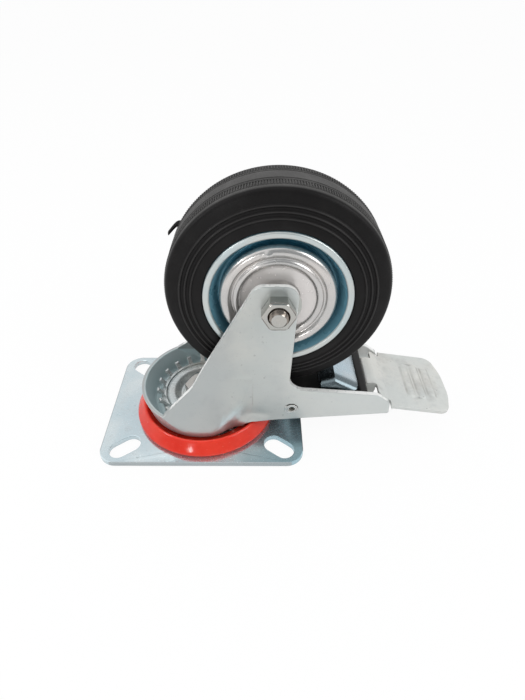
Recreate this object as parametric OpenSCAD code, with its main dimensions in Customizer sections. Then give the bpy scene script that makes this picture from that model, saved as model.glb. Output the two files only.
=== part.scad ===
// Swivel plate caster with a foot pedal that locks both the wheel and the swivel.
// Drawn wheel up: the mounting face lies on z = 0, the swivel axis is the z axis,
// x runs from the swivel axis towards the axle and the pedal, the axle lies along y.

/* [Plate] */
// Plate length along x
plate_l = 105; // [90:1:130]
// Plate width along y
plate_w = 80; // [76:1:110]
// Plate sheet thickness
plate_t = 3; // [2.4:0.1:4]
// Plate corner radius
plate_r = 9; // [4:0.5:14]
// Bolt spacing along x
slot_dx = 80; // [72:1:90]
// Bolt spacing along y
slot_dy = 60; // [56:1:75]
// Slot width
slot_w = 10; // [6.6:0.1:10.5]
// Straight run of a slot between its round ends
slot_run = 6.8; // [4:0.1:10]
// Height by which the middle of the plate is pressed up
dish_h = 3.5; // [3:0.1:4.5]
// Outer radius of the pressed middle
dish_r = 33; // [31:0.5:35]

/* [Swivel head] */
// Upper ball diameter
ball1_d = 6.35; // [5.5:0.01:7.2]
// Pitch radius of the upper balls
ball1_r = 23.5; // [22.5:0.1:24]
// Number of upper balls
ball1_n = 20; // [12:1:21]
// Lower ball diameter
ball2_d = 4.76; // [4:0.01:5.2]
// Pitch radius of the lower balls
ball2_r = 17.5; // [16.5:0.1:17.8]
// Number of lower balls
ball2_n = 20; // [12:1:20]
// Gap between the pressed plate and the fork floor
race_gap = 1.8; // [1.5:0.1:2.4]
// Sheet thickness of the lower race cap
cap_t = 1.7; // [1.4:0.1:2]
// Sheet thickness of the lock crown
crown_t = 1.5; // [1.2:0.1:1.9]
// Number of teeth on the lock crown
crown_n = 20; // [12:4:24]
// Tip radius of the crown teeth
crown_r = 25.6; // [25:0.1:26]
// Width of the gap between two crown teeth
crown_gap = 5.6; // [4.8:0.1:5.8]
// Kingpin shoulder diameter
kingpin_d = 14; // [12.6:0.1:15]
// Kingpin thread diameter
kingpin_thread = 12; // [10:0.1:12.4]
// Kingpin nut width across flats
kingpin_af = 19; // [17:0.1:20]
// Kingpin nut height
kingpin_nut_h = 5.5; // [4:0.1:6.5]
// Outer radius of the dust ring lip
ring_r = 37.8; // [36.5:0.1:39]

/* [Fork] */
// Fork sheet thickness
fork_t = 2.5; // [2:0.1:3]
// Distance from the swivel axis to the axle
trail = 38; // [36:0.5:42]
// Room between the mounting face and the tread
under_gap = 33.5; // [33:0.5:40]
// Radius of the fork cup at its floor
cup_r = 29.8; // [29:0.1:31]
// Radius of the fork cup at its rim
cup_rim_r = 33.5; // [32.5:0.1:34.5]
// Sheet thickness at the cup rim, thinned by the draw
rim_wall = 1.9; // [1.5:0.1:2.4]
// Outer radius of the bend from the cup floor to its wall
cup_bend = 5.3; // [5:0.1:5.5]
// Inner radius of the same bend
cup_bend_in = 3.2; // [3:0.1:3.4]
// Half width of the fork cup across its flattened sides, at the floor
cup_half = 33; // [31.5:0.1:34]
// Height above the fork floor at which the flattened sides run into the legs
blend_h = 35; // [28:0.5:40]
// Height of the open cup rim above the fork floor
cup_h = 14.5; // [11:0.1:17]
// Reach of the fork arms from the swivel axis
arm_x = 96; // [94:0.5:98]

/* [Wheel] */
// Wheel diameter
wheel_d = 100; // [96:1:125]
// Half width over the rim flanges
rim_half = 15.7; // [15.2:0.1:20]
// Outer radius of the rim flange
flange_r = 32.9; // [32:0.1:36]
// Rim sheet thickness
rim_t = 1.4; // [1.2:0.1:1.7]
// Side room between a rim flange and a fork leg
side_gap = 2.3; // [2:0.1:4]
// Radius of the hub disc
disc_r = 25.85; // [25:0.05:26.4]
// Outer radius of the hub tube
hub_r = 11.5; // [11:0.1:12.5]
// Roller diameter
roller_d = 3; // [2.4:0.1:3.4]
// Number of rollers
roller_n = 10; // [6:1:11]

/* [Axle] */
// Axle bolt diameter
axle_d = 8; // [6:0.1:9]
// Width across flats of the axle nut and of the bolt head
axle_af = 13; // [10:0.1:15.5]
// Axle nut height
axle_nut_h = 6.3; // [4:0.1:7.5]
// Axle bolt head height
axle_head_h = 5.3; // [4:0.1:6.5]
// Outer radius of the axle sleeve
sleeve_r = 6.5; // [5.8:0.1:6.8]

/* [Brake] */
// Distance from the swivel axis to the brake pivot
pivot_x = 46; // [45:0.5:47]
// Height of the brake pivot above the fork floor
pivot_h = 13.6; // [13:0.1:15]
// Pivot pin diameter
pin_d = 7; // [5.8:0.1:8]
// Pivot pin wall thickness
pin_wall = 1.35; // [1:0.05:1.6]
// Lever and pedal sheet thickness
lever_t = 2; // [1.6:0.1:2.4]
// Half width of the lever
lever_half = 17; // [16:0.1:17.4]
// Spring leaf thickness
leaf_t = 2; // [1.6:0.1:2.4]
// Half width of the spring leaf
leaf_half = 13; // [10:0.1:14]
// Near edge of the brake shoe
shoe_near = 60.5; // [58:0.5:62]
// Far edge of the arc of the shoe
shoe_far = 67.4; // [66:0.2:69]
// Far edge of the lever where the leaf is clamped
clamp_x = 80; // [78:0.5:81]
// Thickness of the doubled end of the leaf
hem_t = 4.4; // [3.6:0.1:5]
// Pedal half width
pedal_half = 20.8; // [18:0.1:24]
// Far end of the pedal
pedal_x = 131; // [120:0.5:145]
// Pedal travel from free to locked in degrees
pedal_travel = 8; // [6:0.5:9]

/* [Clearances] */
// Radial room of a ball in its race
ball_fit = 0.075; // [0.03:0.005:0.1]
// Radial room of a running fit
run_fit = 0.05; // [0.02:0.01:0.1]
// Radial room of the lever on its pin
lever_fit = 0.1; // [0.05:0.01:0.1]
// Room left between the brake shoe and the tread when locked
shoe_gap = 0.4; // [0.35:0.05:1]

/* [Hidden] */
$fn = 96;
eps = 0.01;
wheel_r = wheel_d / 2;
axle_z = wheel_r + under_gap;
dish_top = plate_t + dish_h;
floor_z = dish_top + race_gap;
floor_top = floor_z + fork_t;
rim_z = floor_z + cup_h;
ball1_z = dish_top + race_gap / 2;
race1_r = ball1_d / 2 + ball_fit;
ball2_z = floor_top + 0.3 * ball2_d;
race2_r = ball2_d / 2 + ball_fit;
cap_z = floor_top + 1.9;
cap_top = cap_z + cap_t;
dome_r = race2_r + cap_t;
crown_in = ball2_r + dome_r - 0.5;
crown_top = cap_top + crown_t;
crown_step = 360 / crown_n;
fork_in = rim_half + side_gap;
fork_out = fork_in + fork_t;
leg_top = axle_z + 11;
pivot_z = floor_z + pivot_h;
leaf_z = pivot_z + pin_d / 2 + 0.8;
arm_low = floor_z + 2.2;
arm_top = pivot_z + 13.4;
tip_x = arm_x - 0.4;
hem_x = clamp_x + hem_t;
clamp_low = pivot_z - 3.4;
rivet_z = pivot_z + 0.4;
rivet_y = 4.4;
neck_z = pivot_z + 8.2;
web_gap = 0.05;
shoe_r = wheel_r + shoe_gap;
wx = trail - pivot_x;
wz = axle_z - pivot_z;
shoe_x = pivot_x + wx * cos(pedal_travel) + wz * sin(pedal_travel);
shoe_z = pivot_z - wx * sin(pedal_travel) + wz * cos(pedal_travel);
shoe_end_z = shoe_z - sqrt(pow(shoe_r, 2) - pow(shoe_far - shoe_x, 2));
fold_low = leaf_z + leaf_t + 0.8;
bore_r = kingpin_d / 2 + 2.5;
roller_pitch = sleeve_r + run_fit + roller_d / 2;
hub_bore = roller_pitch + roller_d / 2 + run_fit;
hub_half = rim_half - 3.3;
cage_half = hub_half - 0.3;
roller_half = cage_half - 2.1;
cage_in = sleeve_r + 0.3;
cage_out = hub_bore - 0.3;

zinc = [0.78, 0.80, 0.81];
steel = [0.70, 0.71, 0.72];
rubber = [0.09, 0.09, 0.09];

// Corner helpers for outlines with true arcs, points listed anticlockwise
function unit(v) = v / norm(v);
function before(p, i) = p[(i + len(p) - 1) % len(p)];
function after(p, i) = p[(i + 1) % len(p)];
function half_angle(p, i) = acos(unit(before(p, i) - p[i]) * unit(after(p, i) - p[i])) / 2;
function reach(p, r, i) = r[i] / tan(half_angle(p, i));
function t_in(p, r, i) = p[i] + unit(before(p, i) - p[i]) * reach(p, r, i);
function t_out(p, r, i) = p[i] + unit(after(p, i) - p[i]) * reach(p, r, i);
function arc_mid(p, r, i) =
  p[i] + unit(unit(before(p, i) - p[i]) + unit(after(p, i) - p[i])) * r[i] / sin(half_angle(p, i));
function convex(p, i) = cross(p[i] - before(p, i), after(p, i) - p[i]) > 0;

module corner_arc(p, r, i) {
  intersection() {
    translate(arc_mid(p, r, i)) circle(r[i]);
    polygon([t_in(p, r, i), p[i], t_out(p, r, i)]);
  }
}

// Polygon whose corner i is rounded with radius r[i]
module round_poly(p, r) {
  difference() {
    union() {
      polygon([for (i = [0 : len(p) - 1])
        each (r[i] > 0 ? [t_in(p, r, i), t_out(p, r, i)] : [p[i]])]);
      for (i = [0 : len(p) - 1])
        if (r[i] > 0 && convex(p, i)) corner_arc(p, r, i);
    }
    for (i = [0 : len(p) - 1])
      if (r[i] > 0 && !convex(p, i)) corner_arc(p, r, i);
  }
}

// Points along the rounded corner i, one every few degrees
function turned(v, t) = [v[0] * cos(t) - v[1] * sin(t), v[0] * sin(t) + v[1] * cos(t)];
function arc_points(p, r, i) =
  let (mid = arc_mid(p, r, i), turn = 180 - 2 * half_angle(p, i), n = ceil(turn / 6),
    side = convex(p, i) ? 1 : -1)
  [for (k = [0 : n]) mid + turned(t_in(p, r, i) - mid, side * turn * k / n)];

// Polygon like round_poly whose corners are short straight steps, for sheets that are cut many times
module stepped_poly(p, r) {
  polygon([for (i = [0 : len(p) - 1]) each (r[i] > 0 ? arc_points(p, r, i) : [p[i]])]);
}

// Hexagon by its width across flats, corners on the x axis
module hexagon(af) {
  circle(d = af / cos(30), $fn = 6);
}

// Turns a profile drawn as (radius, axial) into a wheel part on the axle
module on_axle() {
  translate([trail, 0, axle_z]) rotate([90, 0, 0]) children();
}

// Sheet standing upright: outline in (x, z), from y0 to y1
module upright(y0, y1) {
  translate([0, y1, 0]) rotate([90, 0, 0]) linear_extrude(y1 - y0) children();
}

module ball_row(n, pitch, z, d, start) {
  for (i = [0 : n - 1])
    rotate([0, 0, start + i * 360 / n]) translate([pitch, 0, z]) sphere(d = d);
}

module slot_shape() {
  for (s = [-1, 1]) translate([s * slot_run / 2, 0]) circle(d = slot_w);
  square([slot_run, slot_w], center = true);
}

module plate_outline() {
  difference() {
    round_poly(
      [[-plate_l / 2, -plate_w / 2], [plate_l / 2, -plate_w / 2],
       [plate_l / 2, plate_w / 2], [-plate_l / 2, plate_w / 2]],
      [plate_r, plate_r, plate_r, plate_r]);
    for (sx = [-1, 1])
      for (sy = [-1, 1])
        translate([sx * slot_dx / 2, sy * slot_dy / 2])
          rotate(sx * sy * atan2(slot_dy, slot_dx)) slot_shape();
    circle(dish_r + 0.5);
  }
}

// Mounting plate: slotted sheet with a pressed middle that carries the upper race
module top_plate() {
  under_r = dish_r - plate_t * 0.414;
  color(zinc) difference() {
    union() {
      linear_extrude(plate_t) plate_outline();
      rotate_extrude() polygon([
        [kingpin_d / 2, dish_h], [under_r - dish_h, dish_h], [under_r, 0],
        [dish_r + 0.5, 0], [dish_r + 0.5, plate_t], [dish_r, plate_t],
        [dish_r - dish_h, dish_top], [kingpin_d / 2, dish_top]]);
      rotate_extrude() intersection() {
        translate([ball1_r, ball1_z]) circle(race1_r + 2.1);
        translate([ball1_r - 8, 0]) square([16, dish_h + 0.4]);
      }
    }
    rotate_extrude() translate([ball1_r, ball1_z]) circle(race1_r);
  }
}

// Pin that holds plate, fork and lower race together, head in the plate's recess
module kingpin() {
  color(steel) rotate_extrude() round_poly(
    [[0, 0.6], [kingpin_d / 2 + 3.5, 0.6], [kingpin_d / 2 + 3.5, dish_h], [kingpin_d / 2, dish_h],
     [kingpin_d / 2, cap_z], [kingpin_thread / 2, cap_z],
     [kingpin_thread / 2, cap_top + kingpin_nut_h + 1.2], [0, cap_top + kingpin_nut_h + 1.2]],
    [0, 1.2, 0, 0, 0, 0, 0.8, 0]);
}

module kingpin_nut() {
  color(zinc) intersection() {
    translate([0, 0, cap_top]) linear_extrude(kingpin_nut_h) difference() {
      hexagon(kingpin_af);
      circle(kingpin_thread / 2);
    }
    rotate_extrude() polygon([
      [0, cap_top], [kingpin_af * 0.58, cap_top],
      [kingpin_af * 0.58, cap_top + kingpin_nut_h - 1], [kingpin_af * 0.47, cap_top + kingpin_nut_h],
      [0, cap_top + kingpin_nut_h]]);
  }
}

// Pressed cap above the fork floor, its dome holds the lower balls down
module lower_race_cap() {
  color(zinc) rotate_extrude() difference() {
    union() {
      translate([kingpin_thread / 2, cap_z])
        square([ball2_r + dome_r + 2.2 - kingpin_thread / 2, cap_t]);
      intersection() {
        translate([ball2_r, ball2_z]) circle(dome_r);
        translate([ball2_r - 8, cap_z]) square([16, 16]);
      }
    }
    translate([ball2_r, ball2_z]) circle(race2_r);
  }
}

// Toothed ring fixed to the kingpin, the brake leaf drops between its flared teeth
module lock_crown() {
  flare = crown_r - crown_in - 1.1;
  color(zinc) difference() {
    rotate_extrude() polygon([
      [crown_in, cap_top], [crown_in + 1.6, cap_top],
      [crown_r + 0.4, cap_top + flare - 0.1], [crown_r, cap_top + flare + crown_t * 0.9],
      [crown_r - 0.9, cap_top + flare + crown_t * 0.8], [crown_in + 1.1, crown_top],
      [crown_in, crown_top]]);
    for (i = [0 : crown_n - 1])
      rotate([0, 0, i * crown_step]) translate([crown_r - 1.4, 0, cap_top - 1])
        linear_extrude(12) union() {
          circle(d = crown_gap);
          translate([0, -crown_gap / 2]) square([crown_gap, crown_gap]);
        }
  }
}

// Plastic ring on the shoulder of the pressed plate, its skirt keeps dust out of the upper race
module dust_ring() {
  seat = dish_r + plate_t + 0.1;
  crest_r = ring_r - 4.4;
  crest_z = seat - crest_r + 8.5;
  foot_r = dish_r - 2.6;
  color([0.86, 0.12, 0.09]) rotate_extrude() round_poly(
    [[foot_r, seat - foot_r], [foot_r + 1.3, seat - foot_r - 1.3],
     [crest_r - 0.5, crest_z - 2], [ring_r - 1, plate_t + 1.8], [ring_r, plate_t + 1.8],
     [ring_r, plate_t + 2.7], [crest_r + 0.4, crest_z], [crest_r - 0.8, crest_z],
     [foot_r, seat - foot_r + 1.2]],
    [0, 0, 0.3, 0.2, 0.3, 0.4, 0.5, 0.5, 0.2]);
}

// Side outline of a fork leg with its brake arm
module leg_outline() {
  stepped_poly(
    [[-12, floor_z + 0.6], [18.8, floor_z + 0.6], [25.3, arm_low + 1.6], [arm_x, pivot_z - 3.4],
     [tip_x, pivot_z + 4], [89, pivot_z + 9.4], [trail + 6.2, arm_top], [trail + 8.8, leg_top],
     [trail - 9.8, leg_top], [-3, rim_z + 15], [-18.5, rim_z]],
    [0, 3, 8, 1.5, 3.5, 7, 8, 6, 6, 16, 2]);
}

// Long wedge whose two faces are the flattened sides of the cup, leaning in to the legs
module cup_sides(inset) {
  lean = (cup_half - fork_out) / blend_h;
  low = cup_half + lean - inset;
  tall = blend_h + 6;
  high = cup_half - lean * tall - inset;
  translate([-60, 0, floor_z]) rotate([90, 0, 90]) linear_extrude(120)
    polygon([[-low, -1], [low, -1], [high, tall], [-high, tall]]);
}

// Outer surface of the drawn cup: floor, bend and wall, flattened on both sides
module cup_outer() {
  intersection() {
    rotate_extrude() round_poly(
      [[0, floor_z], [cup_r, floor_z], [cup_rim_r, rim_z + 1], [cup_rim_r, floor_z + blend_h + 3],
       [0, floor_z + blend_h + 3]],
      [0, cup_bend, 0, 0, 0]);
    cup_sides(0);
  }
}

// Inner surface of the drawn cup, one sheet thickness inside the outer one
module cup_inner() {
  in = cup_rim_r - rim_wall;
  foot = cup_r - fork_t;
  intersection() {
    rotate_extrude() round_poly(
      [[0, floor_top], [foot + 0.2, floor_top], [in, rim_z + 1],
       [in, floor_z + blend_h + 4], [0, floor_z + blend_h + 4]],
      [0, cup_bend_in, 0, 0, 0]);
    cup_sides(fork_t);
  }
}

// Drawn sheet: cup with a low open wall behind the swivel axis, high sides, legs and arms
module fork_sheet() {
  difference() {
    union() {
      intersection() {
        cup_outer();
        union() {
          translate([-60, -60, 0]) cube([120, 120, rim_z]);
          upright(-50, -fork_in - 0.6) leg_outline();
          upright(fork_in + 0.6, 50) leg_outline();
        }
      }
      upright(-fork_out, -fork_in) leg_outline();
      upright(fork_in, fork_out) leg_outline();
    }
    cup_inner();
    translate([2, -fork_in, floor_top + 0.7]) cube([60, 2 * fork_in, 60]);
  }
}

// Ridge pressed up from the fork floor over the upper balls
module race_ridge() {
  rotate_extrude() intersection() {
    translate([ball1_r, ball1_z]) circle(race1_r + 1.5);
    translate([ball1_r - 8, floor_z + 0.7]) square([16, 10]);
  }
}

// Fork: one drawn sheet, a round cup over the ball race with two legs and two brake arms
module fork() {
  color(zinc) difference() {
    union() {
      fork_sheet();
      race_ridge();
    }
    rotate_extrude() translate([ball1_r, ball1_z]) circle(race1_r);
    rotate_extrude() translate([ball2_r, ball2_z]) circle(race2_r);
    translate([0, 0, floor_z - 1]) cylinder(r = bore_r, h = fork_t + 2);
    upright(-60, 60) translate([trail, axle_z]) circle(axle_d / 2 + 0.1);
    upright(-60, 60) translate([pivot_x, pivot_z]) circle(pin_d / 2);
  }
}

module upper_balls() {
  color(steel) ball_row(ball1_n, ball1_r, ball1_z, ball1_d, 0);
}

module lower_balls() {
  color(steel) ball_row(ball2_n, ball2_r, ball2_z, ball2_d, 9);
}

// Bolt with its head on the far leg and its chamfered end past the nut
module axle_bolt() {
  tail = fork_out + axle_nut_h + 2.4;
  color(zinc) on_axle() union() {
    translate([0, 0, -fork_out]) rotate_extrude() polygon([
      [0, 0], [axle_d / 2, 0], [axle_d / 2, fork_out + tail - 1], [axle_d / 2 - 0.8, fork_out + tail],
      [0, fork_out + tail]]);
    intersection() {
      translate([0, 0, -fork_out - axle_head_h]) linear_extrude(axle_head_h) hexagon(axle_af);
      translate([0, 0, -fork_out]) rotate_extrude() polygon([
        [0, -axle_head_h], [axle_af * 0.52, -axle_head_h], [axle_af * 0.58, -axle_head_h + 0.7],
        [axle_af * 0.58, 0], [0, 0]]);
    }
  }
}

// Hexagon nut with turned chamfers and a countersunk thread mouth
module axle_nut() {
  color(zinc) on_axle() translate([0, 0, fork_out]) difference() {
    intersection() {
      linear_extrude(axle_nut_h) hexagon(axle_af);
      rotate_extrude() polygon([
        [0, 0], [axle_af * 0.55, 0], [axle_af * 0.58, 0.3], [axle_af * 0.58, axle_nut_h - 0.6],
        [axle_af * 0.535, axle_nut_h], [0, axle_nut_h]]);
    }
    translate([0, 0, -1]) cylinder(d = axle_d, h = axle_nut_h + 2);
    rotate_extrude() polygon([
      [0, axle_nut_h - 0.7], [axle_d / 2, axle_nut_h - 0.7], [axle_d / 2 + 0.8, axle_nut_h + eps],
      [0, axle_nut_h + eps]]);
  }
}

// Tube clamped between the legs, the rollers run on it
module axle_sleeve() {
  color(steel) on_axle() translate([0, 0, -fork_in]) linear_extrude(2 * fork_in) difference() {
    circle(sleeve_r);
    circle(axle_d / 2 + run_fit);
  }
}

module axle_washers() {
  color(zinc) on_axle()
    for (s = [-1, 1])
      translate([0, 0, s * (fork_in - 0.85) - 0.75]) linear_extrude(1.5) difference() {
        circle(sleeve_r + 3.6);
        circle(sleeve_r + run_fit);
      }
}

// Rolled spring pin, open along a slit
module pivot_pin() {
  color(steel) upright(-fork_out - 0.3, fork_out + 0.3) translate([pivot_x, pivot_z]) difference() {
    circle(pin_d / 2);
    circle(pin_d / 2 - pin_wall);
    rotate(140) translate([0, -0.5]) square([pin_d, 1]);
  }
}

// Back of a rim pan in (radius, axial), shared by the pan and the tyre that sits on it
flange_z = rim_half - rim_t;
seat_r = flange_r - 1.75;
heel_r = seat_r - 3.2;
heel_z = flange_z - 8.3;
core_r = heel_r - 2.6;
weld_r = core_r - 2.9;

// Tyre: solid rubber, crowned tread with two grooves, three fine ridges on each sidewall
module tyre() {
  side = rim_half - 0.55;
  color(rubber) on_axle() rotate_extrude() difference() {
    union() {
      round_poly(
        [[core_r, -heel_z], [heel_r, -heel_z], [seat_r, -flange_z], [flange_r, -flange_z],
         [flange_r + 0.6, -side], [flange_r + 9, -side - 0.1], [wheel_r - 0.9, -side + 2.6],
         [wheel_r - 0.1, -side + 5.6], [wheel_r, -4.6], [wheel_r, 4.6],
         [wheel_r - 0.1, side - 5.6], [wheel_r - 0.9, side - 2.6], [flange_r + 9, side + 0.1],
         [flange_r + 0.6, side], [flange_r, flange_z], [seat_r, flange_z], [heel_r, heel_z],
         [core_r, heel_z]],
        [0, 0, 0, 0, 0.3, 6, 1, 4, 0, 0, 4, 1, 6, 0.3, 0, 0, 0, 0]);
      for (k = [0 : 2])
        for (s = [-1, 1])
          translate([flange_r + 4.6 + k * 2.45, s * (side - 0.1)]) circle(0.42);
    }
    for (s = [-1, 1])
      translate([wheel_r - 0.9, s * 3.9 - 0.5]) square([2, 1]);
  }
}

// Pressed rim half: brim, conical wall, channel, then a web welded to its twin at mid width
module rim_pan() {
  rotate_extrude() round_poly(
    [[hub_r + web_gap, 0], [weld_r, 0], [core_r - 0.12, heel_z], [heel_r, heel_z],
     [seat_r, flange_z], [flange_r, flange_z], [flange_r, rim_half], [seat_r - 0.95, rim_half],
     [heel_r - 0.95, heel_z + rim_t], [core_r - 0.98, heel_z + rim_t], [weld_r - 0.88, rim_t],
     [hub_r + web_gap, rim_t]],
    [0, 0, 0, 0, 0, 0, 0.9, 1, 1.2, 1, 1, 0]);
}

module rim_pan_front() {
  color(zinc) on_axle() rim_pan();
}

module rim_pan_rear() {
  color(zinc) on_axle() mirror([0, 0, 1]) rim_pan();
}

// Bright cover with concentric pressed steps, its skirt stands in the channel of the rim pan
module hub_disc() {
  h = rim_half - 0.6;
  in = disc_r - 0.9;
  skirt = heel_z + rim_t;
  hole = sleeve_r + 0.6;
  rotate_extrude() round_poly(
    [[hole, h - 2.6], [16.6, h - 2.6], [17.6, h - 1.6], [19, h - 1.4], [19.9, h - 2.7],
     [20.6, h - 2.7], [21.7, h - 1.2], [24.1, h - 1], [in, h - 2], [in, skirt], [disc_r, skirt],
     [disc_r, h - 1.7], [24.6, h - 0.2], [22.7, h], [20.8, h - 0.7], [20.3, h - 1.7],
     [19.2, h - 0.4], [17.8, h - 0.4], [16.9, h - 1.6], [hole, h - 1.6]],
    [0, 0, 0, 0, 0, 0, 0, 0, 0, 0, 0, 1.2, 2.4, 4, 1.2, 0.4, 0.7, 0.7, 0.8, 0]);
}

module hub_disc_front() {
  color(steel) on_axle() hub_disc();
}

module hub_disc_rear() {
  color(steel) on_axle() mirror([0, 0, 1]) hub_disc();
}

module hub_tube() {
  color(zinc) on_axle() translate([0, 0, -hub_half]) linear_extrude(2 * hub_half) difference() {
    circle(hub_r);
    circle(hub_bore);
  }
}

// Plastic cage with a window for each roller
module roller_cage() {
  color([0.85, 0.84, 0.78]) on_axle() difference() {
    translate([0, 0, -cage_half]) linear_extrude(2 * cage_half) difference() {
      circle(cage_out);
      circle(cage_in);
    }
    for (i = [0 : roller_n - 1])
      rotate([0, 0, i * 360 / roller_n]) translate([0, -roller_d / 2 - 0.1, -roller_half - 0.1])
        cube([hub_r, roller_d + 0.2, 2 * roller_half + 0.2]);
  }
}

module rollers() {
  color(steel) on_axle()
    for (i = [0 : roller_n - 1])
      rotate([0, 0, i * 360 / roller_n]) translate([roller_pitch, 0, -roller_half])
        cylinder(d = roller_d, h = 2 * roller_half);
}

// Side outline of the lever: round boss on the pin, beam, clamp end, shoe curve on top
module lever_side() {
  difference() {
    union() {
      translate([pivot_x, pivot_z]) circle(pin_d / 2 + 3.2);
      polygon([[pivot_x - 3, pivot_z - 6], [pivot_x + 6, pivot_z - 5.4], [clamp_x, clamp_low],
        [clamp_x, pivot_z + 9], [shoe_far, shoe_z - shoe_r + 20], [shoe_near, shoe_z - shoe_r + 20],
        [shoe_near, fold_low], [pivot_x - 3, pivot_z + 6]]);
    }
    translate([shoe_x, shoe_z]) circle(shoe_r);
    polygon([[shoe_far, shoe_z - shoe_r + 30], [shoe_far, shoe_end_z], [clamp_x + 1, pivot_z + 8.6],
      [clamp_x + 1, shoe_z]]);
    translate([pivot_x, pivot_z]) circle(pin_d / 2 + lever_fit);
  }
}

// Part of the side outline that is the sheet of the shoe, one thickness under the top
module lever_sheet() {
  intersection() {
    difference() {
      lever_side();
      translate([shoe_x, shoe_z]) circle(shoe_r);
    }
    union() {
      difference() {
        translate([shoe_x, shoe_z]) circle(shoe_r + lever_t);
        square([shoe_near, shoe_z]);
        translate([shoe_far + 1, 0]) square([clamp_x, shoe_z]);
      }
      translate([shoe_far, shoe_end_z])
        rotate(atan2(pivot_z + 8.6 - shoe_end_z, clamp_x + 1 - shoe_far))
          translate([-1.5, -lever_t]) square([30, lever_t + 0.5]);
      translate([shoe_near, fold_low]) square([lever_t, shoe_z - fold_low]);
      translate([clamp_x - lever_t, 0]) square([lever_t, pivot_z + 20]);
    }
  }
}

// Lever: folded channel on the pin, its top is the shoe that rises against the tread
module brake_lever() {
  color(zinc) difference() {
    union() {
      for (s = [-1, 1])
        upright(s * (lever_half - lever_t / 2) - lever_t / 2, s * (lever_half - lever_t / 2) + lever_t / 2)
          lever_side();
      upright(-lever_half, lever_half) lever_sheet();
    }
    rivet_holes();
    translate([clamp_x - 4, -leaf_half - 0.2, leaf_z - 0.1]) cube([6, 2 * leaf_half + 0.4, leaf_t + 0.2]);
  }
}

module rivet_holes() {
  for (s = [-1, 1])
    translate([clamp_x - 10, s * rivet_y, rivet_z]) rotate([0, 90, 0]) cylinder(r = 2, h = hem_x + lever_t - clamp_x + 12);
}

// Black spring leaf: tongue for the crown, flat run over the pin, doubled end in the clamp
module brake_leaf() {
  tongue_x = crown_r - 1.3;
  tongue_low = cap_top + crown_r - crown_in - 1.1 + crown_t + 0.75;
  color([0.15, 0.15, 0.15]) difference() {
    union() {
      translate([0, 0, leaf_z]) linear_extrude(leaf_t) round_poly(
        [[tongue_x, -5], [38, -leaf_half], [clamp_x + 1, -leaf_half], [clamp_x + 1, leaf_half],
         [38, leaf_half], [tongue_x, 5]],
        [3, 12, 0, 0, 12, 3]);
      upright(-2.1, 2.1) round_poly(
        [[tongue_x, tongue_low], [tongue_x + leaf_t, tongue_low], [tongue_x + leaf_t, leaf_z + 1],
         [tongue_x, leaf_z + 1]],
        [0.8, 0.8, 0, 0]);
      upright(-fork_in + 0.7, fork_in - 0.7) round_poly(
        [[clamp_x, clamp_low], [hem_x, clamp_low], [hem_x, pivot_z + 9.2],
         [clamp_x, pivot_z + 9.2]],
        [0.4, 0.4, 1.2, 1.2]);
    }
    rivet_holes();
  }
}

// Plan outline of the pedal: neck, shoulders between the arms, wide tread with a bowed end
module pedal_plan() {
  wide_x = arm_x + 0.7;
  round_poly(
    [[hem_x, -10], [90.4, -10], [90.4, -fork_in + 1], [wide_x, -fork_in + 1],
     [wide_x, -pedal_half], [pedal_x - 4, -pedal_half], [pedal_x - 0.6, -8],
     [pedal_x - 0.6, 8], [pedal_x - 4, pedal_half], [wide_x, pedal_half],
     [wide_x, fork_in - 1], [90.4, fork_in - 1], [90.4, 10], [hem_x, 10]],
    [0, 0.8, 2, 0.6, 0.8, 6, 30, 30, 6, 0.8, 0.6, 2, 0.8, 0]);
}

// Side section of the pedal sheet: clamp flange, neck, bend, long slope
module pedal_section() {
  far = neck_z - 11.4;
  round_poly(
    [[hem_x, clamp_low], [hem_x + lever_t, clamp_low], [hem_x + lever_t, neck_z - lever_t],
     [88.6, neck_z - lever_t], [96.6, neck_z - 5.8 - lever_t], [pedal_x + 2, far - lever_t],
     [pedal_x + 2, far], [96.9, neck_z - 5.8], [89.3, neck_z], [hem_x, neck_z]],
    [0, 0, 0.6, 3, 6, 0, 0, 8, 5, 1.4]);
}

// Rib pressed up across the pedal
module pedal_rib(x, half) {
  slope = (neck_z - 11.4 - (neck_z - 5.8)) / (pedal_x + 2 - 96.9);
  translate([x, 0, neck_z - 5.8 + (x - 96.9) * slope - 2.2]) {
    rotate([90, 0, 0]) translate([0, 0, -half]) cylinder(r = 3, h = 2 * half);
    for (s = [-1, 1]) translate([0, s * half, 0]) sphere(r = 3);
  }
}

// Foot pedal: pressed sheet with three ribs, riveted to the lever through the leaf
module brake_pedal() {
  color(zinc) difference() {
    union() {
      intersection() {
        upright(-pedal_half - 1, pedal_half + 1) pedal_section();
        linear_extrude(pivot_z + 40) pedal_plan();
      }
      intersection() {
        union() {
          pedal_rib(109.5, 11);
          pedal_rib(115.3, 11);
          pedal_rib(121, 8.5);
        }
        translate([97, -30, neck_z - 11.4 - lever_t]) cube([60, 60, 40]);
      }
      for (s = [-1, 1])
        upright(s * 9 - 1, s * 9 + 1) polygon([
          [hem_x + lever_t - 0.5, clamp_low], [hem_x + 4, clamp_low], [90, neck_z - 5],
          [90, neck_z - lever_t + 0.4], [hem_x + lever_t - 0.5, neck_z - lever_t + 0.4]]);
    }
    rivet_holes();
  }
}

// Two rivets through the clamp: lever end, doubled leaf, pedal flange
module brake_rivets() {
  color(steel)
    for (s = [-1, 1])
      translate([0, s * rivet_y, rivet_z]) rotate([0, 90, 0]) rotate_extrude() polygon([
        [0, clamp_x - lever_t - 1.4], [2.4, clamp_x - lever_t - 1.4], [3.3, clamp_x - lever_t - 0.5],
        [3.3, clamp_x - lever_t], [2, clamp_x - lever_t], [2, hem_x + lever_t],
        [3.3, hem_x + lever_t], [3.3, hem_x + lever_t + 0.5], [2.4, hem_x + lever_t + 1.4],
        [0, hem_x + lever_t + 1.4]]);
}

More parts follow.
